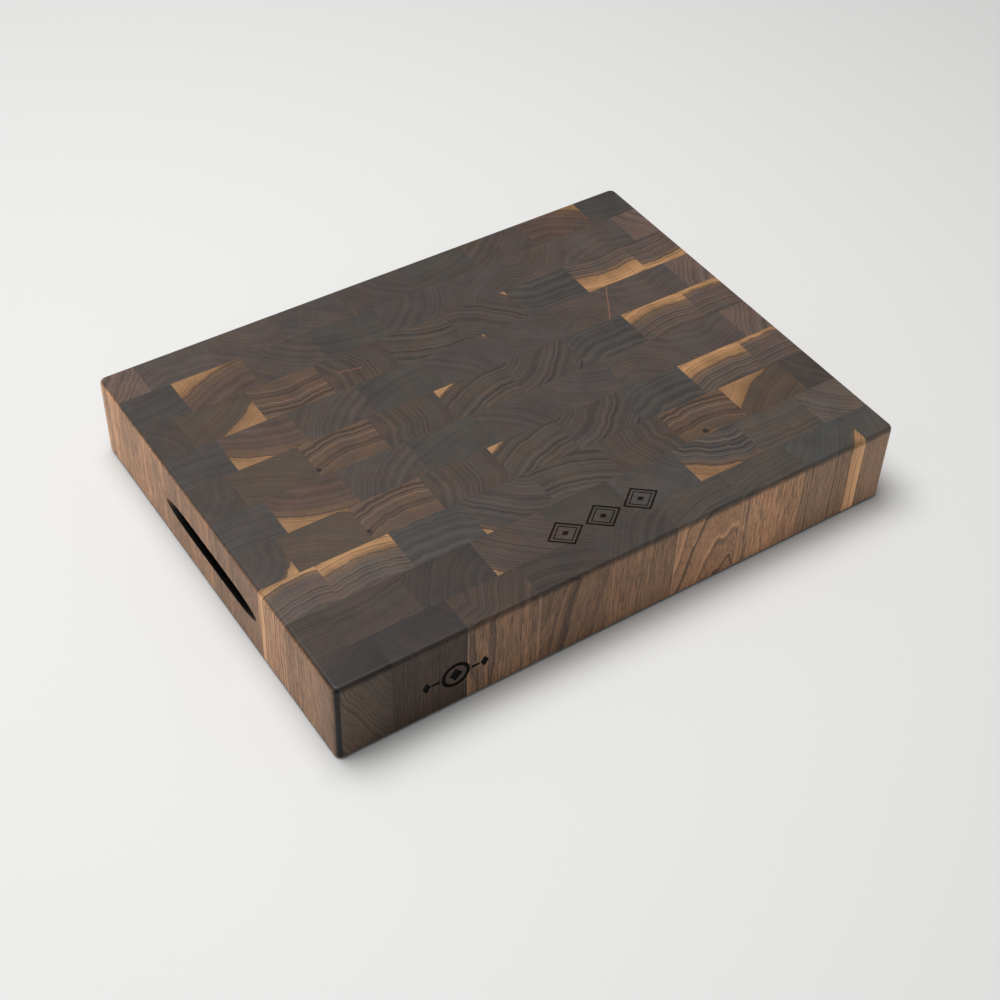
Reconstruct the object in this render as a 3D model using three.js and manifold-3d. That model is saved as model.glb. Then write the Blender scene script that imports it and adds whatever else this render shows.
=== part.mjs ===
// End-grain cutting board: walnut blocks glued in ten rows, with a finger grip cut into each short end.
//
// Millimetres, +Z up. The origin is the centre of the underside, +X runs along the board's length and
// -Y is its front. The rows run along X and are counted from the front; blocks are counted from the left.

import * as THREE from 'three';
import { mergeVertices } from 'three/addons/utils/BufferGeometryUtils.js';
import Module from 'manifold-3d';

// The whole board.
const BOARD_LENGTH = 508;
const BOARD_WIDTH = 381;
const BOARD_THICKNESS = 76.2;

// The roundover along the edges of both faces, and the larger round at the four upright corners.
const EDGE_RADIUS = 4;
const EDGE_STEPS = 4;
const CORNER_RADIUS = 6;
const CORNER_STEPS = 6;

// The blocks. Every length is a multiple of a quarter millimetre, so glued faces meet exactly.
const BLOCK_LENGTH = 61.75;
const ROW_WIDTH = 39;
const FRONT_ROW_WIDTH = 31.5;
const BLOCKS_PER_ROW = 9;

// The finger grips: each is the plunge of one large disc cutter. Its rim is half an ellipse in section,
// RIM_DEPTH deep, so the mouth of the grip narrows towards both tips.
const GRIP_LENGTH = 148;
const GRIP_HEIGHT = 16;
const GRIP_DEPTH = 19;
const RIM_DEPTH = 18;
const GRIP_RIM_STEPS = 10;
const CUTTER_STEPS = 180;

// Cutting boxes reach this far past the board, so that no cut lies in one of its outer faces.
const OVERSHOOT = 10;

// Three kinds of block: dark heartwood, brown heartwood, and heartwood with a pale sapwood edge.
const DARK = { color: 0x4a403b, roughness: 0.5 };
const BROWN = { color: 0x5b4a40, roughness: 0.5 };
const PALE_EDGED = { color: 0x8f6f50, roughness: 0.55 };

// One entry for each row, from the front: the length of its leftmost block, and its nine kinds of wood.
const ROWS = [
  { leftBlock: 46, woods: [DARK, DARK, BROWN, BROWN, DARK, BROWN, DARK, PALE_EDGED, DARK] },
  { leftBlock: 29.75, woods: [BROWN, BROWN, DARK, PALE_EDGED, DARK, DARK, PALE_EDGED, BROWN, BROWN] },
  { leftBlock: 46, woods: [PALE_EDGED, PALE_EDGED, DARK, BROWN, BROWN, DARK, BROWN, PALE_EDGED, DARK] },
  { leftBlock: 34.25, woods: [PALE_EDGED, BROWN, BROWN, BROWN, PALE_EDGED, DARK, DARK, PALE_EDGED, PALE_EDGED] },
  { leftBlock: 46, woods: [DARK, PALE_EDGED, DARK, DARK, BROWN, DARK, BROWN, DARK, BROWN] },
  { leftBlock: 34.25, woods: [DARK, BROWN, BROWN, BROWN, PALE_EDGED, DARK, DARK, PALE_EDGED, PALE_EDGED] },
  { leftBlock: 46, woods: [DARK, PALE_EDGED, DARK, DARK, DARK, DARK, DARK, DARK, BROWN] },
  { leftBlock: 29.75, woods: [DARK, PALE_EDGED, BROWN, BROWN, BROWN, BROWN, DARK, PALE_EDGED, PALE_EDGED] },
  { leftBlock: 46, woods: [DARK, PALE_EDGED, DARK, DARK, DARK, DARK, DARK, DARK, BROWN] },
  { leftBlock: 29.75, woods: [BROWN, DARK, DARK, DARK, DARK, DARK, DARK, PALE_EDGED, DARK] },
];

// Every block that reaches a side of the board is a piece of its own. Inside the eight middle rows the
// blocks are glued into runs of two, three and two. Each run is [first block, last block].
const SINGLE_BLOCKS = Array.from({ length: BLOCKS_PER_ROW }, (_, index) => [index, index]);
const MIDDLE_ROW_RUNS = [[0, 0], [1, 2], [3, 5], [6, 7], [8, 8]];

const wasm = await Module();
wasm.setup();

/** Turns a closed three.js geometry into a solid that can be cut. */
function toSolid(geometry) {
  const bare = geometry.clone();
  bare.deleteAttribute('normal');
  bare.deleteAttribute('uv');
  const merged = mergeVertices(bare, 1e-4);
  const vertProperties = new Float32Array(merged.attributes.position.array);
  const triVerts = new Uint32Array(merged.index.array);
  return new wasm.Manifold(new wasm.Mesh({ numProp: 3, vertProperties, triVerts }));
}

/** Turns a cut solid back into a three.js geometry. */
function toGeometry(solid) {
  const mesh = solid.getMesh();
  const geometry = new THREE.BufferGeometry();
  geometry.setAttribute('position', new THREE.BufferAttribute(mesh.vertProperties, 3));
  geometry.setIndex(new THREE.BufferAttribute(mesh.triVerts, 1));
  geometry.computeVertexNormals();
  return geometry;
}

/** The outside of the finished board, with its corners and all its edges rounded. */
function boardOutline() {
  // The outline of the flat face, inside the roundover.
  const turn = CORNER_RADIUS - EDGE_RADIUS;
  const x = BOARD_LENGTH / 2 - CORNER_RADIUS;
  const y = BOARD_WIDTH / 2 - CORNER_RADIUS;
  const face = new THREE.Shape();
  face.absarc(x, y, turn, 0, Math.PI / 2);
  face.absarc(-x, y, turn, Math.PI / 2, Math.PI);
  face.absarc(-x, -y, turn, Math.PI, (3 * Math.PI) / 2);
  face.absarc(x, -y, turn, (3 * Math.PI) / 2, 2 * Math.PI);
  const outline = new THREE.ExtrudeGeometry(face, {
    depth: BOARD_THICKNESS - 2 * EDGE_RADIUS,
    curveSegments: CORNER_STEPS,
    bevelEnabled: true,
    bevelThickness: EDGE_RADIUS,
    bevelSize: EDGE_RADIUS,
    bevelSegments: EDGE_STEPS,
  });
  outline.translate(0, 0, EDGE_RADIUS);
  return toSolid(outline);
}

/** The disc that cuts one finger grip. side is -1 for the left end of the board and +1 for the right. */
function gripCutter(side) {
  const halfHeight = GRIP_HEIGHT / 2;
  const halfLength = GRIP_LENGTH / 2;
  const discRadius = (halfLength ** 2 + GRIP_DEPTH ** 2) / (2 * GRIP_DEPTH);
  const profile = [new THREE.Vector2(0, -halfHeight)];
  for (let step = 0; step <= GRIP_RIM_STEPS; step += 1) {
    const angle = -Math.PI / 2 + (Math.PI * step) / GRIP_RIM_STEPS;
    const radius = discRadius - RIM_DEPTH + RIM_DEPTH * Math.cos(angle);
    profile.push(new THREE.Vector2(radius, halfHeight * Math.sin(angle)));
  }
  profile.push(new THREE.Vector2(0, halfHeight));
  const disc = new THREE.LatheGeometry(profile, CUTTER_STEPS);
  disc.rotateX(Math.PI / 2);
  const centre = BOARD_LENGTH / 2 + discRadius - GRIP_DEPTH;
  disc.translate(side * centre, 0, BOARD_THICKNESS / 2);
  return toSolid(disc);
}

/** Where one row's blocks begin and end along X: ten numbers for nine blocks. */
function seamsOfRow(row) {
  const seams = [-BOARD_LENGTH / 2];
  for (let index = 0; index < BLOCKS_PER_ROW - 1; index += 1) {
    seams.push(-BOARD_LENGTH / 2 + row.leftBlock + index * BLOCK_LENGTH);
  }
  seams.push(BOARD_LENGTH / 2);
  return seams;
}

/** The front and back of a row along Y. */
function sidesOfRow(rowIndex) {
  const firstSeam = -BOARD_WIDTH / 2 + FRONT_ROW_WIDTH;
  const front = rowIndex === 0 ? -BOARD_WIDTH / 2 : firstSeam + (rowIndex - 1) * ROW_WIDTH;
  const back = rowIndex === ROWS.length - 1 ? BOARD_WIDTH / 2 : firstSeam + rowIndex * ROW_WIDTH;
  return [front, back];
}

/** A solid box that fills the run of blocks, and runs past the board wherever the run meets its outside. */
function runBox([left, right], [front, back]) {
  const past = (value, limit) => (Math.abs(value) === limit ? value + Math.sign(value) * OVERSHOOT : value);
  const x0 = past(left, BOARD_LENGTH / 2);
  const x1 = past(right, BOARD_LENGTH / 2);
  const y0 = past(front, BOARD_WIDTH / 2);
  const y1 = past(back, BOARD_WIDTH / 2);
  const box = new THREE.BoxGeometry(x1 - x0, y1 - y0, BOARD_THICKNESS + 2 * OVERSHOOT);
  box.translate((x0 + x1) / 2, (y0 + y1) / 2, BOARD_THICKNESS / 2);
  return toSolid(box);
}

/** A name such as row_04_block_02, or row_04_blocks_02_03 for a run. */
function runName(rowIndex, [first, last]) {
  const twoDigits = (index) => String(index + 1).padStart(2, '0');
  const row = `row_${twoDigits(rowIndex)}`;
  if (first === last) {
    return `${row}_block_${twoDigits(first)}`;
  }
  return `${row}_blocks_${twoDigits(first)}_${twoDigits(last)}`;
}

const outline = boardOutline();
const leftGrip = gripCutter(-1);
const rightGrip = gripCutter(1);

/** One piece of the board: a block, or a glued run of blocks, with its rounded edges and its part of a grip. */
function makeRun(row, rowIndex, run) {
  const seams = seamsOfRow(row);
  const [first, last] = run;
  let solid = runBox([seams[first], seams[last + 1]], sidesOfRow(rowIndex)).intersect(outline);
  if (first === 0) {
    solid = solid.subtract(leftGrip);
  }
  if (last === BLOCKS_PER_ROW - 1) {
    solid = solid.subtract(rightGrip);
  }
  const wood = row.woods[first];
  const material = new THREE.MeshStandardMaterial({
    color: wood.color,
    roughness: wood.roughness,
    metalness: 0,
  });
  const mesh = new THREE.Mesh(toGeometry(solid), material);
  mesh.name = runName(rowIndex, run);
  return mesh;
}

const board = new THREE.Group();
ROWS.forEach((row, rowIndex) => {
  const isOuterRow = rowIndex === 0 || rowIndex === ROWS.length - 1;
  const runs = isOuterRow ? SINGLE_BLOCKS : MIDDLE_ROW_RUNS;
  runs.forEach((run) => board.add(makeRun(row, rowIndex, run)));
});

export default board;
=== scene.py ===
# An end-grain cutting board of walnut blocks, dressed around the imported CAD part.
#
# Blender works in metres. Lengths of wood figure are in millimetres, because that is how the rings are
# described: a strip of wood has an x to the right and a y to the back, measured from its own middle.

import math

import bmesh
import bpy
from mathutils import Matrix, Vector


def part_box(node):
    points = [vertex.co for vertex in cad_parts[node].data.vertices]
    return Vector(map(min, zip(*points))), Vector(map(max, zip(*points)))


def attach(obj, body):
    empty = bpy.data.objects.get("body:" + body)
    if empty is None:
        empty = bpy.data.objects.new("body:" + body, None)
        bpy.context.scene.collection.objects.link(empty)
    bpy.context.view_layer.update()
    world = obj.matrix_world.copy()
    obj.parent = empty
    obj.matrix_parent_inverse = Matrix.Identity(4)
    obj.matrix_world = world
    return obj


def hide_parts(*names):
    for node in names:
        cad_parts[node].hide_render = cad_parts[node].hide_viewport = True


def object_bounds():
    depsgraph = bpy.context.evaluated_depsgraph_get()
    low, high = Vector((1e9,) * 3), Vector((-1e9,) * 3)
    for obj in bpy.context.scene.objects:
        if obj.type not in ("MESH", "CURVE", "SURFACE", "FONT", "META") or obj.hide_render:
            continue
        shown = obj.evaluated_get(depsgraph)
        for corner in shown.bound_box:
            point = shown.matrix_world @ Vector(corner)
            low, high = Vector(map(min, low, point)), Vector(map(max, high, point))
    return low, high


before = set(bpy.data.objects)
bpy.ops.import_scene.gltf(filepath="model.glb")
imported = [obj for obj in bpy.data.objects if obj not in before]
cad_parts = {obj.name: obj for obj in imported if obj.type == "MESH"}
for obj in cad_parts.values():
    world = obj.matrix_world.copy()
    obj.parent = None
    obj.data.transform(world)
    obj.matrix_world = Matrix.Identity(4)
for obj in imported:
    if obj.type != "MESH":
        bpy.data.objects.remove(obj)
cad_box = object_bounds()

MM = 0.001

# ---------------------------------------------------------------------------------------------------
# The board as it was made: four glued panels of nine strips, sliced into rows, and the rows turned.
# ---------------------------------------------------------------------------------------------------

BLOCKS_PER_ROW = 9
SLICE_STEP = 80.0  # mm along the grain from one slice of a panel to the next, with the saw's kerf
NO_SAPWOOD = 900.0  # mm: an edge so far from the middle of the tree that no block reaches it


def strip(
    heart,
    pith,
    rings=2.6,
    bands=0.35,
    lines=0.45,
    ripple=1.0,
    side=1.0,
    sapwood=NO_SAPWOOD,
    pale=1.0,
    fade=4.0,
    late=0.55,
    fibre=1.0,
    warm=1.0,
    shade=(0.0, 0.0),
    drift=(0.0, 0.0),
):
    """One strip of a panel. heart is the sRGB colour of its heartwood, and pith the middle of its tree.

    rings is the width of a year's ring and sapwood the distance from the pith where pale wood starts.
    bands and lines say how strongly the rings show, and ripple how far they wave. side is how pale
    the strip's sides are for its ends, and pale how light its sapwood is. fade is the width of the
    half-pale zone beside the sapwood, and late the share of a ring that its dark line takes. fibre is
    how strongly fine dashes show on its sides, and warm how brown they are. shade is how much paler
    the wood gets for each mm to the right and to the back, and drift how far the pith moves for each
    mm of height.
    """
    return {
        "heart": heart,
        "pith": pith,
        "rings": rings,
        "bands": bands,
        "lines": lines,
        "ripple": ripple,
        "side": side,
        "sapwood": sapwood,
        "pale": pale,
        "fade": fade,
        "late": late,
        "fibre": fibre,
        "warm": warm,
        "shade": shade,
        "drift": drift,
    }


# Each heart colour holds part of the pale sheen on the top as a painted grey reflection.
PANELS = {
    "A": [
        strip(0x343130, (-20, -200), side=3.24, rings=2.4, bands=0.25),
        strip(0x41342F, (34, 86), rings=3.0, lines=0.4, sapwood=103, pale=0.68, fade=16),
        strip(0x3A3330, (55, -56), rings=2.3, lines=0.4),
        strip(0x34312F, (30, -150), rings=2.4, bands=0.25, lines=0.3),
        strip(0x383231, (-60, -50), bands=0.25, lines=0.3),
        strip(0x393433, (50, 75), rings=2.2, bands=0.2, lines=0.3),
        strip(0x3E3633, (-17, -30), rings=2.2, bands=0.25, lines=0.35),
        strip(0x3F3836, (0, 80), bands=0.2, lines=0.3),
        strip(0x4E413C, (70, -55), side=2.84, bands=0.55, lines=0.35, ripple=2.0),
    ],
    "B": [
        strip(0x342E2B, (-60, 40), bands=0.22, lines=0.25, side=3.66),
        strip(0x3E342C, (-60, -100), rings=2.2, bands=0.25, lines=0.35, sapwood=146, pale=0.68),
        strip(0x46382E, (10, -110), rings=2.4, bands=1.0, lines=0.9, ripple=2.0),
        strip(0x39312D, (-90, 10), rings=2.6, lines=0.55, ripple=0.4),
        strip(0x39332F, (35, -115), rings=2.1, bands=0.8, lines=0.65, sapwood=142),
        strip(0x383230, (-60, 80), rings=2.1, bands=0.7, lines=0.8),
        strip(0x343231, (10, -90), rings=2.8, bands=0.5, lines=0.45, ripple=1.5),
        strip(
            0x453C37, (5, -130), rings=3.4, bands=0.5, lines=0.8, ripple=1.8,
            sapwood=137, pale=0.95, fade=9,
        ),
        strip(
            0x453B37, (0, -130), side=2.71, rings=3.4, bands=0.5, lines=0.8, ripple=1.8,
            sapwood=143, fade=7,
        ),
    ],
    "C": [
        strip(0x2F2620, (0, 200), lines=0.7, side=4.54, rings=2.2),
        strip(0x332A25, (-10, 140), rings=2.6),
        strip(0x2B2523, (60, -60), rings=2.2),
        strip(0x3A312D, (80, 80), rings=2.3, lines=1.1, sapwood=144),
        strip(0x322D29, (100, 20), rings=2.2, bands=0.15, lines=0.25),
        strip(0x373433, (-80, -60), rings=2.4, bands=0.2, lines=0.35),
        strip(0x3C3735, (27, 60), rings=3.6, bands=0.9, lines=0.9, sapwood=81, pale=0.6, fade=12),
        strip(0x3F3935, (0, 110), rings=2.4),
        strip(0x453E3B, (80, 80), rings=2.4, lines=0.6),
    ],
    "D": [
        strip(
            0x201A18, (60, -100), side=4.0, warm=0.58, fibre=0.4, rings=2.8, bands=0.22, lines=0.42,
            ripple=0.5, shade=(-0.012, 0.02), drift=(0, 0.36),
        ),
        strip(0x231E1D, (90, 50), side=0.96, rings=2.4),
        strip(0x352A24, (-38, 32), side=2.47, rings=2.8, bands=0.5, lines=0.6),
        strip(0x2D2724, (-35, -90), side=2.44, rings=3.2, lines=0.6, drift=(0.2, 0)),
        strip(0x312C2A, (60, -60), lines=0.2, side=2.60, bands=0.35),
        strip(
            0x383330, (24, -120), side=2.86, fibre=0.5, rings=7.0, bands=0.15, lines=0.75,
            late=0.16, drift=(0, -0.12),
        ),
        strip(0x3A3531, (20, -150), side=3.58, rings=2.0, bands=0.3, lines=0.3),
        strip(0x373736, (-70, 60), warm=0.8, side=2.24, fibre=0.7, rings=2.4, bands=0.2, sapwood=117),
        strip(0x393736, (80, -20), warm=0.75, side=2.32, fibre=0.5, rings=2.4, bands=0.12, lines=0.3),
    ],
}

# Each row is a slice of a panel, from the front: panel, number of the slice, turned end for end,
# turned front to back.
ROWS = {
    1: ("D", 0, False, False),
    2: ("C", 0, False, False),
    3: ("B", 3, True, False),
    4: ("B", 0, False, False),
    5: ("A", 0, False, False),
    6: ("B", 1, False, False),
    7: ("A", 1, False, False),
    8: ("B", 2, False, True),
    9: ("A", 2, False, True),
    10: ("A", 3, True, True),
}

# The sapwood's edge wanders along a strip, so that some slices differ from the rest of their panel.
SAPWOOD_IN_SLICE = {
    (4, 1): 88,
    (7, 5): 113.4,
    (10, 5): 113.4,
    (5, 2): 109,
    (7, 2): 111,
    (9, 2): 106,
    (10, 8): 112.5,
    (6, 2): 148.5,
    (8, 2): 130,
    (3, 8): 126.5,
    (3, 2): 140,
    (3, 1): 145.5,
    (4, 5): 144,
    (3, 5): NO_SAPWOOD,
    (8, 5): NO_SAPWOOD,
    (8, 6): 132.5,
    (3, 4): 132,
    (6, 8): 140,
    (8, 8): 134,
    (6, 9): 144.5,
    (4, 9): 147.5,
}

# The sides of some slices are paler or darker than the rest of their strip.
SIDE_OF_SLICE = {
    (9, 1): 1.2,
    (8, 1): 1.28,
    (6, 1): 0.97,
    (5, 1): 0.82,
    (4, 1): 0.67,
}

# Glue lines of the front row that show pale, by the block on their right.
PALE_GLUE = {3: 0.5, 4: 0.6, 6: 0.9, 7: 0.5}

# Knots and small cracks, by row and block, in mm from the middle of the block. A knot is its place and
# radius, and a crack its two ends.
KNOTS = {
    (4, 3): (-30, -10, 3.0),
    (6, 3): (-29, -12, 2.2),
    (3, 7): (-9, -15, 3.0),
    (1, 1): (-21.5, -15.8, 3.2),
}
CRACKS = {
    (7, 7): ((32, 19.5), (8, -19.5)),
    (8, 4): ((-18, 1), (2, -3)),
}

FRONT_LEFT_BLOCK = (1, 1)

# ---------------------------------------------------------------------------------------------------
# Shape
# ---------------------------------------------------------------------------------------------------

EDGE_RADIUS = 4 * MM
EDGE_SEGMENTS = 8
CORNER_RADIUS = 6 * MM  # of the four upright corners
CORNER_SEGMENTS = 10

GRIP_LENGTH = 148 * MM
GRIP_HEIGHT = 16 * MM
GRIP_DEPTH = 19 * MM
GRIP_RIM_DEPTH = 18 * MM  # the rim of its cutter is half an ellipse in section
GRIP_SEGMENTS = 360
GRIP_RIM_SEGMENTS = 20

low, high = cad_box
BOARD_LENGTH = high.x - low.x
MIDDLE = (low + high) / 2

IN_PLANE = 1e-6  # metres: points nearer to a plane than this are in it
SQUARE = 0.999  # the least part of a face's normal along an axis, if the face is square to it


def blocks_of(node):
    """Row, first block and last block of a CAD node such as row_04_blocks_02_03."""
    numbers = [int(part) for part in node.split("_") if part.isdigit()]
    return numbers[0], numbers[1], numbers[-1]


def seams_of(row):
    """Where the nine blocks of a row begin and end along X: ten numbers."""
    left_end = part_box(f"row_{row:02d}_block_01")
    right_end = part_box(f"row_{row:02d}_block_09")
    first = left_end[1].x
    step = (right_end[0].x - first) / (BLOCKS_PER_ROW - 2)
    inner = [first + step * index for index in range(BLOCKS_PER_ROW - 1)]
    return [left_end[0].x, *inner, right_end[1].x]


def new_object(name, data):
    """An object of the scene: a piece for a mesh, or a light or a camera."""
    made = bpy.data.objects.new(name, data)
    bpy.context.scene.collection.objects.link(made)
    return made


def mesh_from(name, bm):
    bmesh.ops.recalc_face_normals(bm, faces=bm.faces)
    mesh = bpy.data.meshes.new(name)
    bm.to_mesh(mesh)
    bm.free()
    return mesh


def on_seam(face):
    """True for a side of a block that is glued to another block."""
    centre = face.calc_center_median()
    for axis in (0, 1):
        if abs(face.normal[axis]) > SQUARE:
            limit = low if face.normal[axis] < 0 else high
            return abs(centre[axis] - limit[axis]) > IN_PLANE
    return False


def round_edges(bm, upright, radius, segments):
    """Rounds the upright edges of a block's outside, or the level ones."""
    bm.normal_update()
    edges = []
    for edge in bm.edges:
        is_upright = abs(edge.verts[0].co.z - edge.verts[1].co.z) > IN_PLANE
        if is_upright == upright and not any(on_seam(face) for face in edge.link_faces):
            edges.append(edge)
    bmesh.ops.bevel(
        bm,
        geom=edges,
        offset=radius,
        offset_type="OFFSET",
        segments=segments,
        profile=0.5,
        affect="EDGES",
        clamp_overlap=False,
    )


def block_mesh(name, low_corner, high_corner):
    """A block with a rounded edge wherever two of its outside faces meet."""
    bm = bmesh.new()
    bmesh.ops.create_cube(bm, size=1.0)
    size = high_corner - low_corner
    middle = (high_corner + low_corner) / 2
    for vertex in bm.verts:
        vertex.co = Vector(a * b for a, b in zip(vertex.co, size)) + middle
    round_edges(bm, True, CORNER_RADIUS, CORNER_SEGMENTS)
    round_edges(bm, False, EDGE_RADIUS, EDGE_SEGMENTS)
    return mesh_from(name, bm)


# The radius of the disc that cuts a grip as long and as deep as these are.
GRIP_DISC = ((GRIP_LENGTH / 2) ** 2 + GRIP_DEPTH ** 2) / (2 * GRIP_DEPTH)


def grip_cutter(side):
    """The disc that cuts a finger grip. side is -1 for the left end of the board, +1 for the right."""
    disc = GRIP_DISC
    centre = Vector((MIDDLE.x + side * (BOARD_LENGTH / 2 + disc - GRIP_DEPTH), MIDDLE.y, MIDDLE.z))
    bm = bmesh.new()
    profile = []
    for step in range(GRIP_RIM_SEGMENTS + 1):
        angle = math.pi * step / GRIP_RIM_SEGMENTS - math.pi / 2
        from_axis = disc - GRIP_RIM_DEPTH + GRIP_RIM_DEPTH * math.cos(angle)
        profile.append((from_axis, GRIP_HEIGHT / 2 * math.sin(angle)))
    rings = []
    for turn in range(GRIP_SEGMENTS):
        angle = 2 * math.pi * turn / GRIP_SEGMENTS
        along = Vector((math.cos(angle), math.sin(angle), 0))
        rings.append([bm.verts.new(centre + along * r + Vector((0, 0, z))) for r, z in profile])
    for here, there in zip(rings, rings[1:] + rings[:1]):
        for a, b, c, d in zip(here, there, there[1:], here[1:]):
            bm.faces.new((a, b, c, d))
    bm.faces.new([ring[0] for ring in rings])
    bm.faces.new([ring[-1] for ring in rings])
    return mesh_from(f"grip_cutter_{side}", bm)


def grip_depth_at(y):
    """How deep the grips reach into the board beside a place along its width."""
    across = min(abs(y - MIDDLE.y), GRIP_LENGTH / 2)
    return math.sqrt(GRIP_DISC ** 2 - across ** 2) - (GRIP_DISC - GRIP_DEPTH)


def prism(bm, place, outer, inner=None):
    """A cutting prism on a flat outline, or on the band between two outlines of as many points.

    place makes a point of two coordinates on the surface, either inside the wood or outside it.
    """
    ends = []
    for outside in (False, True):
        lines = [line for line in (outer, inner) if line]
        ends.append([[bm.verts.new(place(u, v, outside)) for u, v in line] for line in lines])
    count = len(outer)
    for line in range(len(ends[0])):
        for i in range(count):
            j = (i + 1) % count
            bm.faces.new((ends[0][line][i], ends[0][line][j], ends[1][line][j], ends[1][line][i]))
    for end in ends:
        if inner is None:
            bm.faces.new(end[0])
            continue
        for i in range(count):
            j = (i + 1) % count
            bm.faces.new((end[0][i], end[0][j], end[1][j], end[1][i]))


def lozenge(u, v, half_width, half_height):
    return [(u - half_width, v), (u, v - half_height), (u + half_width, v), (u, v + half_height)]


def circle(u, v, radius, count=48):
    turns = [2 * math.pi * i / count for i in range(count)]
    return [(u + radius * math.cos(a), v + radius * math.sin(a)) for a in turns]


CUTTER_OVERSHOOT = 2.0  # mm that the cutters of the two ornaments stand out of the wood

# The engraved ornament on the top is three lozenges. Each has a broad outline, a fine one inside it
# and a filled middle, given by half their widths and heights in mm.
ENGRAVING_CENTRE = (-0.7, -149.5)  # mm right of the board's middle and behind it
ENGRAVING_DEPTH = 0.7
LOZENGE_SPACING = 34.5
BROAD_OUTLINE = ((16.5, 13.5), (13.9, 11.4))
FINE_OUTLINE = ((11.3, 9.3), (9.9, 8.1))
FILLED_MIDDLE = (3.2, 2.6)

# The burned ornament on the front is a ring round a lozenge, with a tapered bar and a small lozenge at
# each side of it.
BURN_CENTRE = (-156.2, 33.2)  # mm right of the board's middle and above its underside
BURN_DEPTH = 0.5
RING_RADII = (12.0, 8.8)
RING_LOZENGE = (5.5, 6.5)
BAR_ENDS = (13.5, 20.5)
BAR_HALF_WIDTHS = (1.5, 0.9)
SIDE_LOZENGE = (3.6, 5.6)
SIDE_LOZENGE_DISTANCE = 24.5


def engraving_cutter():
    def place(u, v, outside):
        x = MIDDLE.x + (ENGRAVING_CENTRE[0] + u) * MM
        y = MIDDLE.y + (ENGRAVING_CENTRE[1] + v) * MM
        return Vector((x, y, high.z + (CUTTER_OVERSHOOT if outside else -ENGRAVING_DEPTH) * MM))

    bm = bmesh.new()
    for index in (-1, 0, 1):
        u = index * LOZENGE_SPACING
        for outer, inner in (BROAD_OUTLINE, FINE_OUTLINE):
            prism(bm, place, lozenge(u, 0, *outer), lozenge(u, 0, *inner))
        prism(bm, place, lozenge(u, 0, *FILLED_MIDDLE))
    return mesh_from("engraving_cutter", bm)


def burn_cutter():
    def place(u, v, outside):
        x = MIDDLE.x + (BURN_CENTRE[0] + u) * MM
        z = low.z + (BURN_CENTRE[1] + v) * MM
        return Vector((x, low.y + (-CUTTER_OVERSHOOT if outside else BURN_DEPTH) * MM, z))

    bm = bmesh.new()
    prism(bm, place, circle(0, 0, RING_RADII[0]), circle(0, 0, RING_RADII[1]))
    prism(bm, place, lozenge(0, 0, *RING_LOZENGE))
    for side in (-1, 1):
        near, far = (side * distance for distance in BAR_ENDS)
        broad, narrow = BAR_HALF_WIDTHS
        prism(bm, place, [(near, -broad), (far, -narrow), (far, narrow), (near, broad)])
        prism(bm, place, lozenge(side * SIDE_LOZENGE_DISTANCE, 0, *SIDE_LOZENGE))
    return mesh_from("burn_cutter", bm)


def boxes_meet(a, b):
    """Whether two boxes, each a low and a high corner, share any space."""
    return all(a[0][i] < b[1][i] and b[0][i] < a[1][i] for i in range(3))


def mesh_box(mesh):
    corners = [vertex.co for vertex in mesh.vertices]
    return [Vector(pick(c[i] for c in corners) for i in range(3)) for pick in (min, max)]


def cut(piece, cutter):
    """Takes a cutting solid out of a piece, if they meet, and returns whether they did."""
    if not boxes_meet(mesh_box(piece.data), mesh_box(cutter.data)):
        return False
    step = piece.modifiers.new("cut", "BOOLEAN")
    step.operation = "DIFFERENCE"
    step.solver = "EXACT"
    step.object = cutter
    bpy.context.view_layer.update()
    evaluated = piece.evaluated_get(bpy.context.evaluated_depsgraph_get())
    result = bpy.data.meshes.new_from_object(evaluated)
    piece.modifiers.remove(step)
    before = piece.data
    piece.data = result
    result.name = before.name + "_cut"
    bpy.data.meshes.remove(before)
    return True


ON_OUTSIDE = 0.03 * EDGE_RADIUS  # the farthest that a facet of a rounded edge is from the true round
WITH_OUTSIDE = 0.9  # the least agreement of a face's normal with the outside that it lies on


def outside_normal(point):
    """The way out of the finished board at a point of its rounded outside, or None further in."""
    inset = Vector((CORNER_RADIUS, CORNER_RADIUS, EDGE_RADIUS))
    core = Vector(min(max(p, a), b) for p, a, b in zip(point, low + inset, high - inset))
    beside = Vector((point.x - core.x, point.y - core.y, 0))
    core += beside.normalized() * min(beside.length, CORNER_RADIUS - EDGE_RADIUS)
    out = point - core
    if abs(out.length - EDGE_RADIUS) > ON_OUTSIDE:
        return None
    return out.normalized()


def finish_mesh(piece):
    """Gives the flats and the rounded edges their exact shading normals."""
    mesh = piece.data
    normals = [Vector((0, 0, 1))] * len(mesh.loops)
    for face in mesh.polygons:
        face.use_smooth = True
        out = outside_normal(face.center)
        on_outside = out is not None and out.dot(face.normal) > WITH_OUTSIDE
        for loop in face.loop_indices:
            point = mesh.vertices[mesh.loops[loop].vertex_index].co
            here = outside_normal(point) if on_outside else None
            normals[loop] = here or face.normal.copy()
    mesh.normals_split_custom_set(normals)


def is_cut_face(face, seams_x, seams_y):
    """True for a face made by a cutter: it is neither on the board's outside nor on a glued seam."""
    out = outside_normal(face.center)
    if out is not None and out.dot(face.normal) > WITH_OUTSIDE:
        return False
    for axis, seams in enumerate((seams_x, seams_y)):
        in_plane = any(abs(face.center[axis] - seam) < IN_PLANE for seam in seams)
        if in_plane and abs(face.normal[axis]) > SQUARE:
            return False
    return True


# ---------------------------------------------------------------------------------------------------
# Wood
# ---------------------------------------------------------------------------------------------------


def linear(srgb):
    """The linear colour of a hexadecimal sRGB number."""
    channels = [((srgb >> shift) & 255) / 255 for shift in (16, 8, 0)]
    return tuple(c / 12.92 if c <= 0.04045 else ((c + 0.055) / 1.055) ** 2.4 for c in channels)


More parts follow.
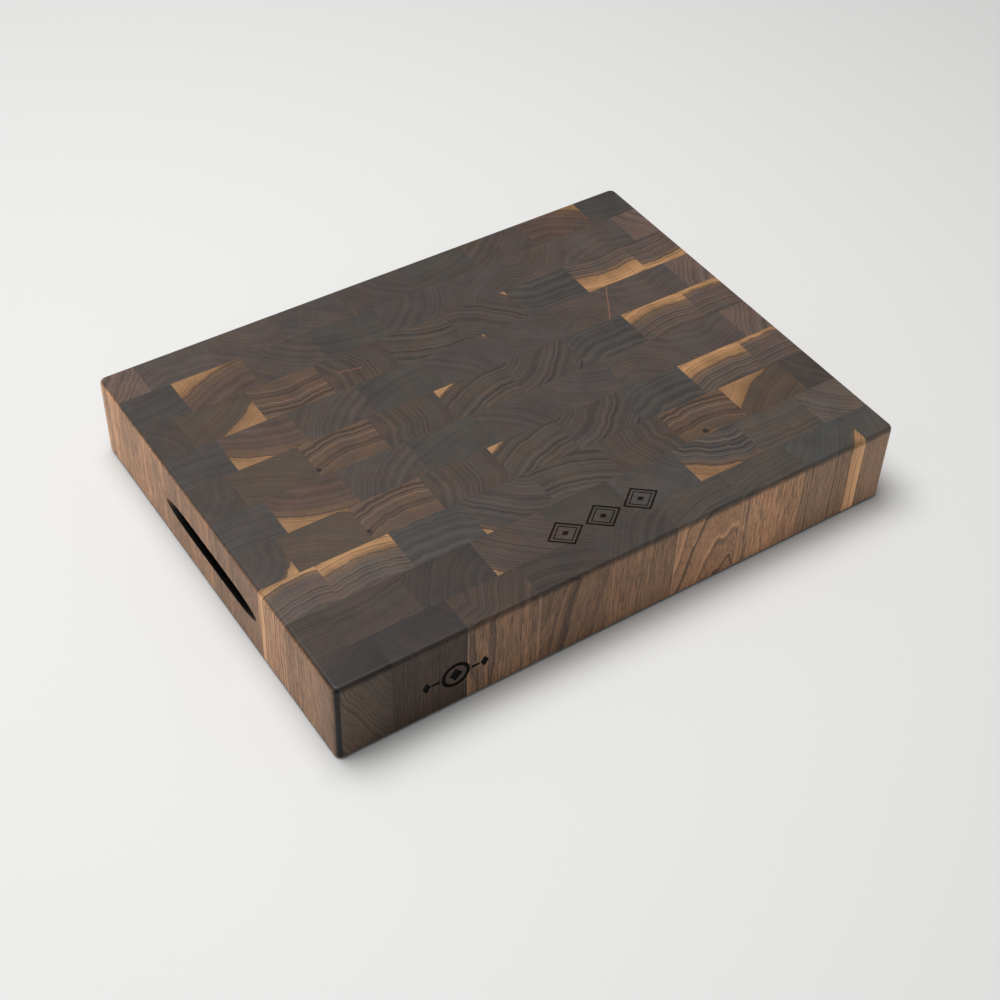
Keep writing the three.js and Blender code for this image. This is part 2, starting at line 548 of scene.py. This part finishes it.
class Wire:
    """A value in a material's nodes, with the arithmetic of an ordinary number."""

    def __init__(self, tree, socket):
        self.tree = tree
        self.socket = socket

    def math(self, operation, *values):
        node = self.tree.nodes.new("ShaderNodeMath")
        node.operation = operation
        for place, value in zip(node.inputs, values):
            feed(self.tree, place, value)
        return Wire(self.tree, node.outputs[0])

    def __add__(self, other):
        return self.math("ADD", self, other)

    def __sub__(self, other):
        return self.math("SUBTRACT", self, other)

    def __rsub__(self, other):
        return self.math("SUBTRACT", other, self)

    def __mul__(self, other):
        return self.math("MULTIPLY", self, other)

    def __truediv__(self, other):
        return self.math("DIVIDE", self, other)

    def root(self):
        return self.math("SQRT", self)

    def size(self):
        return self.math("ABSOLUTE", self)

    def fraction(self):
        return self.math("FRACT", self)

    def whole(self):
        return self.math("FLOOR", self)

    def smaller(self, other):
        return self.math("MINIMUM", self, other)

    def larger(self, other):
        return self.math("MAXIMUM", self, other)

    def rise(self, start, end):
        """0 up to start, 1 from end on, and smooth between them."""
        node = self.tree.nodes.new("ShaderNodeMapRange")
        node.interpolation_type = "SMOOTHSTEP"
        feed(self.tree, node.inputs["Value"], self)
        feed(self.tree, node.inputs["From Min"], start)
        feed(self.tree, node.inputs["From Max"], end)
        return Wire(self.tree, node.outputs["Result"])


def feed(tree, socket, value):
    if isinstance(value, Wire):
        tree.links.new(value.socket, socket)
    else:
        socket.default_value = value


def node_of(tree, kind, **inputs):
    node = tree.nodes.new(kind)
    for name, value in inputs.items():
        feed(tree, node.inputs[name.replace("_", " ")], value)
    return node


def attribute(tree, name, kind):
    node = tree.nodes.new("ShaderNodeAttribute")
    node.attribute_type = kind
    node.attribute_name = name
    return node


def number_of_block(tree, name):
    """A number that each block carries for itself, such as the width of its rings."""
    return Wire(tree, attribute(tree, name, "OBJECT").outputs["Fac"])


def vector_of_block(tree, name):
    return Wire(tree, attribute(tree, name, "OBJECT").outputs["Vector"])


def vector_of_surface(tree, name):
    """A vector that the mesh carries at every point of its surface."""
    return Wire(tree, attribute(tree, name, "GEOMETRY").outputs["Vector"])


def split(tree, vector):
    node = node_of(tree, "ShaderNodeSeparateXYZ", Vector=vector)
    return [Wire(tree, output) for output in node.outputs]


def join(tree, x, y, z):
    return Wire(tree, node_of(tree, "ShaderNodeCombineXYZ", X=x, Y=y, Z=z).outputs[0])


def noise(tree, vector, size, detail=2.0, roughness=0.5):
    """Smooth noise about 0.5, whose features are size mm across."""
    node = node_of(tree, "ShaderNodeTexNoise", Vector=vector, Scale=1 / size, Detail=detail)
    node.inputs["Roughness"].default_value = roughness
    return Wire(tree, node.outputs["Fac"])


def noise_line(tree, value, size, detail=1.0):
    """Smooth noise along a single number."""
    node = tree.nodes.new("ShaderNodeTexNoise")
    node.noise_dimensions = "1D"
    feed(tree, node.inputs["W"], value)
    node.inputs["Scale"].default_value = 1 / size
    node.inputs["Detail"].default_value = detail
    return Wire(tree, node.outputs["Fac"])


def mixed(tree, factor, a, b, blend="MIX"):
    node = tree.nodes.new("ShaderNodeMix")
    node.data_type = "RGBA"
    node.blend_type = blend
    factor_in = next(s for s in node.inputs if s.identifier == "Factor_Float")
    a_in = next(s for s in node.inputs if s.identifier == "A_Color")
    b_in = next(s for s in node.inputs if s.identifier == "B_Color")
    out = next(s for s in node.outputs if s.identifier == "Result_Color")
    feed(tree, factor_in, factor)
    for socket, value in ((a_in, a), (b_in, b)):
        feed(tree, socket, value if isinstance(value, Wire) else (*value, 1.0))
    return Wire(tree, out)


def scaled(tree, colour, factor):
    node = tree.nodes.new("ShaderNodeVectorMath")
    node.operation = "SCALE"
    feed(tree, node.inputs[0], colour)
    feed(tree, node.inputs["Scale"], factor)
    return Wire(tree, node.outputs[0])


# Colours. The heartwood of a sawn end is the block's own heart colour, and part of its grey is a painted
# reflection: the pale sheen on the top. Oil darkens and greys the ends and leaves the sides brown: a side
# has the brightness of its end times one of these, two browns that mix in patches and a grey for the few
# strips that aren't warm.
SIDE_BROWN = (3.38, 1.94, 1.09)
SIDE_RED_BROWN = (3.55, 1.92, 1.07)
SIDE_GREY = (2.35, 2.13, 1.75)
COOL_TINT = (0.94, 1.0, 1.04)
WARM_TINT = (1.08, 1.0, 0.94)
DARK_WOOD = (0.36, 0.37, 0.40)  # tints of the darkest and the lightest figure
LIGHT_WOOD = (1.95, 1.80, 1.60)
SAPWOOD_COLOUR = linear(0x896645)
SAPWOOD_SIDE_COLOUR = linear(0xEAB27F)
CRACK_COLOUR = linear(0x7E5440)
PALE_GLUE_COLOUR = linear(0xC49E7C)
# Near black: the char of the burned ornament, and the painted shade deep in the grips.
CHAR_AND_GRIP_SHADE_COLOUR = linear(0x0B0A0A)
# A dim tint: painted shade on the walls of the grips.
GRIP_SHADE_TINT = (0.55, 0.62, 0.72)
SCORCHED = (0.34, 0.26, 0.20)

# Sizes of the figure in mm.
SWING_SIZE = 30
WAVE_SIZE = 7.5
WOBBLE_SIZE = 8
PATCH_SIZE = 22
BLUSH_SIZE = 18
SAPWOOD_EDGE_SIZE = 6
RAY_WIDTH = 0.9
PORE_SPACING = 0.9
STREAK_WIDTH = 1.2
DASH_WIDTH = 0.7
SHEEN_SIZE = 3.0
RAY_CIRCLE = 100.0
ALONG_GRAIN = 0.12  # figure changes this much more slowly along the trunk than across it

# Two ends of a soft step, in mm.
SOAKED = (31.5, 36.5)  # above the middle of the board
GLUE_LINE = (0.08, 0.5)  # from the seam
PALE_GLUE_LINE = (0.3, 1.0)
CORNER_SHADE_REACH = (4.0, 4.8)  # from the left end of the board, for the painted shade on the front left corner
GRIP_SHADE_DEPTHS = (3.0, 11.0)  # depth in the grip where its painted shade starts, and where it is black

FRONT_HALF = 0.62  # the front half of a rounded upright corner, where shade is painted, leans forward at least this much
WOOD_IOR = 1.45
WOOD_GLOSS = 0.32
CUT_GLOSS = 0.04
ROUGHNESS = 0.48
BUMP_STRENGTH = 0.35
BUMP_HEIGHT = 0.0002  # metres

PLAIN = "walnut"
GRIP = "walnut_in_grip"
BURNT = "walnut_burnt"


class Spot:
    """A point of a block: where it is in its tree and on the board, and which way it faces.

    across_x and across_y are mm from the pith, reach is the distance from it, and along is mm up the
    trunk. place_x, place_y and place_z are mm from the middle of the block.
    """

    def __init__(self, tree):
        self.tree = tree
        self.across_x, self.across_y, self.along = split(tree, vector_of_surface(tree, "grain"))
        self.slow = self.along * ALONG_GRAIN
        self.place_x, self.place_y, self.place_z = split(tree, vector_of_surface(tree, "place"))
        coordinates = tree.nodes.new("ShaderNodeTexCoord")
        self.normal_x, self.normal_y, normal_z = split(tree, Wire(tree, coordinates.outputs["Normal"]))

        # A point on a circle of fixed size round the pith is shared by every ring along one ray.
        self.reach = (self.across_x * self.across_x + self.across_y * self.across_y).root()
        self.ray_x = self.across_x / self.reach * RAY_CIRCLE
        self.ray_y = self.across_y / self.reach * RAY_CIRCLE
        self.wobble = self.noise(self.slow * 1.5 + 31, WOBBLE_SIZE) - 0.5

        # The two short ends of the board: 1 there, and 0 on its front, its back and its faces.
        self.on_short_end = self.normal_x.size().rise(0.05, 0.15) * (1 - self.normal_y.size().rise(0.3, 0.6))
        self.end_grain = self.share_of_end_grain(normal_z.size())
        self.side = 1 - self.end_grain

    def of_block(self, name):
        return number_of_block(self.tree, name)

    def noise(self, along, size, detail=2.0, roughness=0.5):
        """Noise that changes across the trunk, and along it as fast as the value along does."""
        where = join(self.tree, self.across_x, self.across_y, along)
        return noise(self.tree, where, size, detail, roughness)

    def ray_noise(self, along, size):
        """Noise that is the same all the way out from the pith, if along is."""
        return noise(self.tree, join(self.tree, self.ray_x, self.ray_y, along), size, detail=1)

    def share_of_end_grain(self, facing):
        """1 on a sawn end and 0 on a side. facing is 1 where the surface is square to the grain."""
        # Oil soaks in from the top, so the dark of the end reaches a little way down the front.
        soaked = (self.place_z + self.wobble * 4.0).rise(*SOAKED)
        along_front = facing.rise(0.1, 0.7).larger(soaked * 0.85)
        # On the short ends the roundover keeps the colour of the side further up than on the front.
        along_short_end = (facing + self.wobble * 0.2).rise(0.12, 0.9)
        return along_front * (1 - self.on_short_end) + along_short_end * self.on_short_end


class Figure:
    """The pattern of the wood at a spot: its rings, rays, pores and fibres.

    radius is the distance from the pith that decides which ring the spot is in. The others are
    about 0 where the wood has its middle shade, and light sums them up for heartwood.
    """

    def __init__(self, spot):
        self.tree = spot.tree
        # All rings swing and wave together. A little wobble of their own keeps them apart.
        swing = spot.ray_noise(spot.slow + spot.reach * 0.1, SWING_SIZE) - 0.5
        wave = spot.ray_noise(spot.slow * 1.6 + spot.reach * 0.1, WAVE_SIZE) - 0.5
        self.radius = spot.reach + swing * 9 + wave * (spot.of_block("ripple") * 2.4) + spot.wobble * 1.5
        count = self.radius / spot.of_block("rings") + (noise_line(self.tree, self.radius, 12) - 0.5) * 2.6
        self.bands = (noise_line(self.tree, count, 2.0, detail=2) - 0.5) * spot.of_block("bands")
        self.lines = self.ring_lines(count, spot.of_block("late")) * spot.of_block("lines")
        self.patches = spot.noise(spot.slow, PATCH_SIZE) - 0.5

        # Rays run straight out from the pith. Pores are pinholes on an end and short dashes on a side.
        rays = spot.ray_noise(spot.along * 0.3, RAY_WIDTH) - 0.5
        self.pore = self.pores(spot)
        self.streaks = spot.noise(spot.along * 0.05, STREAK_WIDTH, detail=3, roughness=0.6) - 0.5
        dashes = spot.noise(spot.along * 0.06, DASH_WIDTH, roughness=0.7) - 0.5

        # The front of the front left block is grey with slanting rings. Its short end is warmer and
        # paler, with straight fibres, like the rest of that end.
        side = spot.side
        self.corner_end = spot.of_block("corner") * spot.on_short_end
        fibre = spot.of_block("fibre")
        fibre = fibre + (1 - fibre) * self.corner_end
        self.lines = self.lines * (1 - self.corner_end * 0.75)

        light = self.bands * (1.7 - side * 0.5) + self.patches * 0.5 + rays * spot.end_grain * 0.2
        light = light + self.streaks * (side * fibre * 1.2 + 0.35) + dashes * side * fibre * 1.5
        self.light = light - self.lines * (side * 0.5 + 0.8) - self.pore * (side * 0.25 + 0.2)

    def ring_lines(self, count, late):
        """The fine dark line that each ring ends in. Some are much stronger than others."""
        in_ring = count.fraction()
        pick = self.tree.nodes.new("ShaderNodeTexWhiteNoise")
        pick.noise_dimensions = "1D"
        feed(self.tree, pick.inputs["W"], count.whole())
        strength = Wire(self.tree, pick.outputs["Value"])
        strength = strength * strength * 0.85 + 0.15
        late_wood = in_ring.rise(0.93 - late, 0.93) * (1 - in_ring.rise(0.93, 1.0))
        early_wood = 1 - in_ring.rise(0.02, late * 0.7)
        return late_wood * strength - early_wood * strength * 0.5

    def pores(self, spot):
        cells = self.tree.nodes.new("ShaderNodeTexVoronoi")
        where = join(self.tree, spot.across_x, spot.across_y, spot.along * 0.07)
        feed(self.tree, cells.inputs["Vector"], where)
        cells.inputs["Scale"].default_value = 1 / PORE_SPACING
        return 1 - Wire(self.tree, cells.outputs["Distance"]).rise(0.12, 0.34)


def heartwood(spot, figure):
    """The block's own colour, cooler where it is darker and warmer where it is lighter."""
    tree = spot.tree
    blush = spot.noise(spot.slow + 77, BLUSH_SIZE, detail=1).rise(0.3, 0.7)
    tint = mixed(tree, blush, COOL_TINT, WARM_TINT)
    heart = mixed(tree, 1.0, vector_of_block(tree, "heart"), tint, "MULTIPLY")

    warm = spot.of_block("warm")
    warm = warm + (1 - warm) * figure.corner_end * 0.9
    browns = mixed(tree, blush, SIDE_BROWN, SIDE_RED_BROWN)
    side_tint = mixed(tree, warm, SIDE_GREY, browns)
    brightness = Wire(tree, node_of(tree, "ShaderNodeRGBToBW", Color=heart).outputs[0])
    side_light = spot.of_block("side") * (figure.corner_end * 0.37 + 1)
    heart = mixed(tree, spot.side, heart, scaled(tree, side_tint, brightness * side_light))

    shade_x, shade_y, _ = split(tree, vector_of_block(tree, "shade"))
    heart = scaled(tree, heart, (spot.place_x * shade_x + spot.place_y * shade_y + 1).larger(0.3))
    dark = mixed(tree, 1.0, heart, DARK_WOOD, "MULTIPLY")
    light = mixed(tree, 1.0, heart, LIGHT_WOOD, "MULTIPLY")
    amount = (figure.light * 0.85 + 0.45).smaller(1.0).larger(0.0)
    return mixed(tree, amount, dark, light)


def with_sapwood(spot, figure, heart):
    """Adds the pale edge of the tree, with a soft tan zone and a dark line before it."""
    tree = spot.tree
    start = spot.of_block("sapwood")
    edge = figure.radius + (spot.noise(spot.slow, SAPWOOD_EDGE_SIZE) - 0.5) * 2.4
    is_sapwood = edge.rise(start - 0.9, start + 0.9)
    tan_zone = edge.rise(start - spot.of_block("fade"), start)
    edge_line = edge.rise(start - 3.0, start - 1.2)
    depth = edge.rise(start, start + 12) * 0.3
    light = figure.bands * 0.6 + figure.streaks * 0.6 + figure.patches * 1.0
    light = light - figure.lines * 1.0 - figure.pore * 0.16 + depth + 0.86
    light = light * spot.of_block("pale")
    sapwood = scaled(tree, mixed(tree, spot.side, SAPWOOD_COLOUR, SAPWOOD_SIDE_COLOUR), light)
    heart = mixed(tree, tan_zone * 0.35, heart, sapwood)
    heart = scaled(tree, heart, 1 - edge_line * 0.3)
    return mixed(tree, is_sapwood, heart, sapwood)


def with_knot(spot, colour):
    knot_x, knot_y, radius = split(spot.tree, vector_of_block(spot.tree, "knot"))
    off_x, off_y = spot.place_x - knot_x, spot.place_y - knot_y
    distance = (off_x * off_x + off_y * off_y).root() + spot.wobble * 2.0
    knot = 1 - distance.rise(radius * 0.45, radius * 1.25)
    return scaled(spot.tree, colour, 1 - knot * 0.8)


def with_crack(spot, colour):
    """Draws the block's crack, a fine line between two points of its ends."""
    tree = spot.tree
    start_x, start_y, _ = split(tree, vector_of_block(tree, "crack_start"))
    end_x, end_y, _ = split(tree, vector_of_block(tree, "crack_end"))
    run_x, run_y = end_x - start_x, end_y - start_y
    length = (run_x * run_x + run_y * run_y).root()
    to_x, to_y = spot.place_x - start_x, spot.place_y - start_y
    along = (to_x * run_x + to_y * run_y) / length
    off = ((to_x * run_y - to_y * run_x) / length + spot.wobble * 2.2).size()
    between_ends = along.rise(-0.5, 0.5) * (1 - (along - length).rise(-0.5, 0.5))
    crack = (1 - off.rise(0.2, 0.7)) * between_ends
    return mixed(tree, crack * 0.6, colour, CRACK_COLOUR)


def with_painted_corner_shade(spot, colour):
    """Paints shade nearly to black on the front left upright corner, on the half that faces the front."""
    from_end = spot.place_x - spot.of_block("left_end") + spot.wobble * 0.8
    faces_front = 1 - (spot.normal_y + FRONT_HALF).rise(-0.05, 0.05)
    corner_shade = (1 - from_end.rise(*CORNER_SHADE_REACH)) * faces_front
    return scaled(spot.tree, colour, 1 - corner_shade * spot.of_block("corner") * 0.9)


def with_glue(spot, colour, to_left, to_front, to_right, to_back):
    """Draws the glue as a fine dark line on each seam, and a few pale ones on the front."""
    to_seam = to_left.smaller(to_front).smaller(to_right.smaller(to_back))
    glue = 1 - to_seam.rise(*GLUE_LINE)
    colour = scaled(spot.tree, colour, 1 - glue * 0.14)
    pale = (1 - to_left.rise(*PALE_GLUE_LINE)) * spot.side * spot.of_block("pale_glue")
    return mixed(spot.tree, pale, colour, PALE_GLUE_COLOUR)


def walnut(finish):
    """Walnut of any block: the block's own properties say what its tree looked like."""
    material = bpy.data.materials.new(finish)
    material.use_nodes = True
    tree = material.node_tree
    tree.nodes.clear()
    surface = tree.nodes.new("ShaderNodeBsdfPrincipled")
    output = tree.nodes.new("ShaderNodeOutputMaterial")
    tree.links.new(surface.outputs[0], output.inputs["Surface"])

    spot = Spot(tree)
    figure = Figure(spot)
    to_left, to_front, grip_depth = split(tree, vector_of_surface(tree, "to_low_seams"))
    to_right, to_back, _ = split(tree, vector_of_surface(tree, "to_high_seams"))

    colour = with_sapwood(spot, figure, heartwood(spot, figure))
    colour = with_knot(spot, colour)
    colour = with_crack(spot, colour)
    colour = with_painted_corner_shade(spot, colour)
    colour = with_glue(spot, colour, to_left, to_front, to_right, to_back)
    if finish == GRIP:
        # Painted shade in the grip: its walls are dimmed to a dull brown, which shows at its shallow tips,
        # and go black where it is deep.
        grip_shaded = mixed(tree, 1.0, colour, GRIP_SHADE_TINT, "MULTIPLY")
        colour = mixed(tree, grip_depth.rise(*GRIP_SHADE_DEPTHS), grip_shaded, CHAR_AND_GRIP_SHADE_COLOUR)
    if finish == BURNT:
        scorched = mixed(tree, 1.0, colour, SCORCHED, "MULTIPLY")
        colour = mixed(tree, spot.of_block("char"), scorched, CHAR_AND_GRIP_SHADE_COLOUR)
    feed(tree, surface.inputs["Base Color"], colour)

    sheen = spot.noise(spot.along * 0.1, SHEEN_SIZE) - 0.5
    feed(tree, surface.inputs["Roughness"], sheen * 0.12 + figure.pore * 0.12 + ROUGHNESS)
    surface.inputs["IOR"].default_value = WOOD_IOR
    surface.inputs["Specular IOR Level"].default_value = WOOD_GLOSS if finish == PLAIN else CUT_GLOSS

    bump = tree.nodes.new("ShaderNodeBump")
    bump.inputs["Strength"].default_value = BUMP_STRENGTH
    bump.inputs["Distance"].default_value = BUMP_HEIGHT
    feed(tree, bump.inputs["Height"], figure.streaks * 0.5 - figure.pore * 0.6 - figure.lines * 0.3)
    tree.links.new(bump.outputs["Normal"], surface.inputs["Normal"])
    return material


FINISH_ORDER = (PLAIN, GRIP, BURNT)
finishes = {name: walnut(name) for name in FINISH_ORDER}

# ---------------------------------------------------------------------------------------------------
# The blocks
# ---------------------------------------------------------------------------------------------------

FAR = 1000.0  # mm, for a side of a block that has no seam, and for a knot or crack it doesn't have
STRIP_STEP = 1000.0  # mm of trunk from one strip to the next

nodes_of_blocks = {}
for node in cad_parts:
    row, first, last = blocks_of(node)
    for block in range(first, last + 1):
        nodes_of_blocks[row, block] = node

cutters = {
    "left_grip": new_object("cutter_left_grip", grip_cutter(-1)),
    "right_grip": new_object("cutter_right_grip", grip_cutter(1)),
    "engraving": new_object("cutter_engraving", engraving_cutter()),
    "burn": new_object("cutter_burn", burn_cutter()),
}


def write_vectors(mesh, name, vectors):
    layer = mesh.attributes.new(name, "FLOAT_VECTOR", "POINT")
    layer.data.foreach_set("vector", [value for vector in vectors for value in vector])


def strip_number(row, block):
    """Which strip of its panel a block was sawn from, counted from the left of the panel."""
    end_for_end = ROWS[row][2]
    return BLOCKS_PER_ROW + 1 - block if end_for_end else block


def write_grain(mesh, row, block, wood, span_x, span_y, middle):
    """Writes where each point of a block is: in its tree, in the block, and beside the seams.

    The tree's numbers are mm from the pith and along the trunk. Every strip has a stretch of trunk of
    its own. A row turned over has its grain upside down.
    """
    panel, slice_number, end_for_end, front_to_back = ROWS[row]
    turn_x = -1 if end_for_end else 1
    turn_y = -1 if front_to_back else 1
    turn_z = turn_x * turn_y
    pith_x, pith_y = wood["pith"]
    drift_x, drift_y = wood["drift"]
    number = strip_number(row, block)
    start = STRIP_STEP * (ord(panel) * BLOCKS_PER_ROW + number)
    grain, place, to_low, to_high = [], [], [], []
    for vertex in mesh.vertices:
        x, y, z = (vertex.co - middle) / MM
        grain_x = turn_x * x - pith_x - drift_x * turn_z * z
        grain_y = turn_y * y - pith_y - drift_y * turn_z * z
        grain.append((grain_x, grain_y, turn_z * z + SLICE_STEP * slice_number + start))
        place.append((x, y, z))
        left = (vertex.co.x - span_x[0]) / MM if block > 1 else FAR
        right = (span_x[1] - vertex.co.x) / MM if block < BLOCKS_PER_ROW else FAR
        front = (vertex.co.y - span_y[0]) / MM if row > 1 else FAR
        back = (span_y[1] - vertex.co.y) / MM if row < len(ROWS) else FAR
        # The third number is how deep a grip would be beside the point, which sets the painted shade in the
        # grip.
        to_low.append((left, front, grip_depth_at(vertex.co.y) / MM))
        to_high.append((right, back, 0.0))
    write_vectors(mesh, "grain", grain)
    write_vectors(mesh, "place", place)
    write_vectors(mesh, "to_low_seams", to_low)
    write_vectors(mesh, "to_high_seams", to_high)


def write_wood(piece, row, block, wood, left_end, is_burnt):
    """Gives a block the numbers that the walnut material reads."""
    _, _, end_for_end, front_to_back = ROWS[row]
    shade_x, shade_y = wood["shade"]
    knot_x, knot_y, knot_radius = KNOTS.get((row, block), (FAR, FAR, 1.0))
    crack_start, crack_end = CRACKS.get((row, block), ((FAR, FAR), (FAR + 1, FAR)))
    for key in ("rings", "bands", "lines", "ripple", "pale", "fade", "late", "fibre", "warm"):
        piece[key] = float(wood[key])
    piece["heart"] = linear(wood["heart"])
    piece["side"] = wood["side"] * SIDE_OF_SLICE.get((row, block), 1.0)
    piece["sapwood"] = float(SAPWOOD_IN_SLICE.get((row, block), wood["sapwood"]))
    piece["shade"] = (-shade_x if end_for_end else shade_x, -shade_y if front_to_back else shade_y, 0.0)
    piece["pale_glue"] = PALE_GLUE.get(block, 0.0) if row == 1 else 0.0
    piece["knot"] = (float(knot_x), float(knot_y), float(knot_radius))
    piece["crack_start"] = (float(crack_start[0]), float(crack_start[1]), 0.0)
    piece["crack_end"] = (float(crack_end[0]), float(crack_end[1]), 0.0)
    piece["char"] = 1.0 if is_burnt else 0.0
    piece["corner"] = 1.0 if (row, block) == FRONT_LEFT_BLOCK else 0.0
    piece["left_end"] = left_end


def make_block(row, block, span_x, span_y):
    wood = PANELS[ROWS[row][0]][strip_number(row, block) - 1]
    low_corner = Vector((span_x[0], span_y[0], low.z))
    high_corner = Vector((span_x[1], span_y[1], high.z))
    middle = (low_corner + high_corner) / 2
    name = f"walnut_row_{row:02d}_block_{block:02d}"
    piece = new_object(name, block_mesh(name, low_corner, high_corner))
    is_cut = {key: cut(piece, cutter) for key, cutter in cutters.items()}
    in_grip = is_cut["left_grip"] or is_cut["right_grip"]

    mesh = piece.data
    mesh.materials.clear()
    for finish in FINISH_ORDER:
        mesh.materials.append(finishes[finish])
    for face in mesh.polygons:
        finish = PLAIN
        if any(is_cut.values()) and is_cut_face(face, span_x, span_y):
            finish = GRIP if in_grip else BURNT
        face.material_index = FINISH_ORDER.index(finish)
    finish_mesh(piece)
    write_grain(mesh, row, block, wood, span_x, span_y, middle)
    write_wood(piece, row, block, wood, (low_corner.x - middle.x) / MM, is_cut["burn"])

    node = nodes_of_blocks[row, block]
    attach(piece, "root")
    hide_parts(node)


for row in ROWS:
    seams = seams_of(row)
    row_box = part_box(f"row_{row:02d}_block_01")
    for block in range(1, BLOCKS_PER_ROW + 1):
        make_block(row, block, (seams[block - 1], seams[block]), (row_box[0].y, row_box[1].y))

for cutter in cutters.values():
    mesh = cutter.data
    bpy.data.objects.remove(cutter)
    bpy.data.meshes.remove(mesh)

# ---------------------------------------------------------------------------------------------------
# Floor, light and camera
# ---------------------------------------------------------------------------------------------------

FLOOR_HALF = 8.0  # metres, half the length of its sides
FLOOR_COLOUR = (0.55, 0.55, 0.545)
FLOOR_ROUGHNESS = 0.6
FLOOR_GLOSS = 0.2
FAR_FLOOR_GLOW = 0.44  # keeps the floor pale beyond the reach of the softbox
GLOW_STARTS = 0.95  # metres from the middle of the board
GLOW_IS_FULL = 2.3
WORLD_COLOUR = (1.0, 1.0, 0.995)
WORLD_STRENGTH = 0.32
BACKDROP_STRENGTH = 0.70  # how bright the world looks, which is more than the light it gives
SOFTBOX_PLACE = Vector((-0.382, 0.321, 2.348))  # left of the board's middle, and behind it
SOFTBOX_WIDTH = 1.4
SOFTBOX_POWER = 78.0


def pale_floor():
    bm = bmesh.new()
    corners = [(-1, -1), (1, -1), (1, 1), (-1, 1)]
    bm.faces.new([bm.verts.new((x * FLOOR_HALF, y * FLOOR_HALF, low.z)) for x, y in corners])
    floor = new_object("floor", mesh_from("floor", bm))
    material = bpy.data.materials.new("pale_floor")
    material.use_nodes = True
    tree = material.node_tree
    surface = tree.nodes["Principled BSDF"]
    surface.inputs["Base Color"].default_value = (*FLOOR_COLOUR, 1.0)
    surface.inputs["Emission Color"].default_value = (*WORLD_COLOUR, 1.0)
    coordinates = tree.nodes.new("ShaderNodeTexCoord")
    x, y, _ = split(tree, Wire(tree, coordinates.outputs["Object"]))
    distance = (x * x + y * y).root()
    glow = distance.rise(GLOW_STARTS, GLOW_IS_FULL) * FAR_FLOOR_GLOW
    feed(tree, surface.inputs["Emission Strength"], glow)
    surface.inputs["Roughness"].default_value = FLOOR_ROUGHNESS
    surface.inputs["Specular IOR Level"].default_value = FLOOR_GLOSS
    floor.data.materials.append(material)


def softbox():
    """A square light that hangs over the board and points at the frame's origin."""
    lamp = bpy.data.lights.new("softbox", "AREA")
    lamp.shape = "SQUARE"
    lamp.size = SOFTBOX_WIDTH
    lamp.energy = SOFTBOX_POWER
    light = new_object("softbox", lamp)
    light.location = SOFTBOX_PLACE
    light.rotation_euler = (-SOFTBOX_PLACE).to_track_quat("-Z", "Y").to_euler()


def studio_world():
    """An even pale world, which looks brighter as a backdrop than the light it gives."""
    world = bpy.data.worlds.new("studio")
    world.use_nodes = True
    tree = world.node_tree
    background = tree.nodes["Background"]
    background.inputs["Color"].default_value = (*WORLD_COLOUR, 1.0)
    seen = Wire(tree, tree.nodes.new("ShaderNodeLightPath").outputs["Is Camera Ray"])
    extra = BACKDROP_STRENGTH - WORLD_STRENGTH
    feed(tree, background.inputs["Strength"], seen * extra + WORLD_STRENGTH)
    bpy.context.scene.world = world


pale_floor()
softbox()
studio_world()

# The view of the photo.
CAMERA_PLACE = Vector((-0.5995, -0.8727, 1.0128))
CAMERA_AIM = Vector((-0.0349, -0.0634, 0.0381))
CAMERA_ROLL = math.radians(2.17)
LENS = 64.0  # mm, on a sensor 36 mm wide
SENSOR_WIDTH = 36.0
NEAREST_SEEN = 0.01

camera_data = bpy.data.cameras.new("camera")
camera_data.lens = LENS
camera_data.sensor_width = SENSOR_WIDTH
camera_data.clip_start = NEAREST_SEEN
camera = new_object("camera", camera_data)
ahead = (CAMERA_AIM - CAMERA_PLACE).normalized()
level_right = ahead.cross(Vector((0, 0, 1))).normalized()
level_up = level_right.cross(ahead)
right = level_right * math.cos(CAMERA_ROLL) + level_up * math.sin(CAMERA_ROLL)
up = right.cross(ahead)
camera.matrix_world = Matrix.Translation(CAMERA_PLACE) @ Matrix((right, up, -ahead)).transposed().to_4x4()
bpy.context.scene.camera = camera
bpy.context.scene.view_settings.view_transform = "Standard"
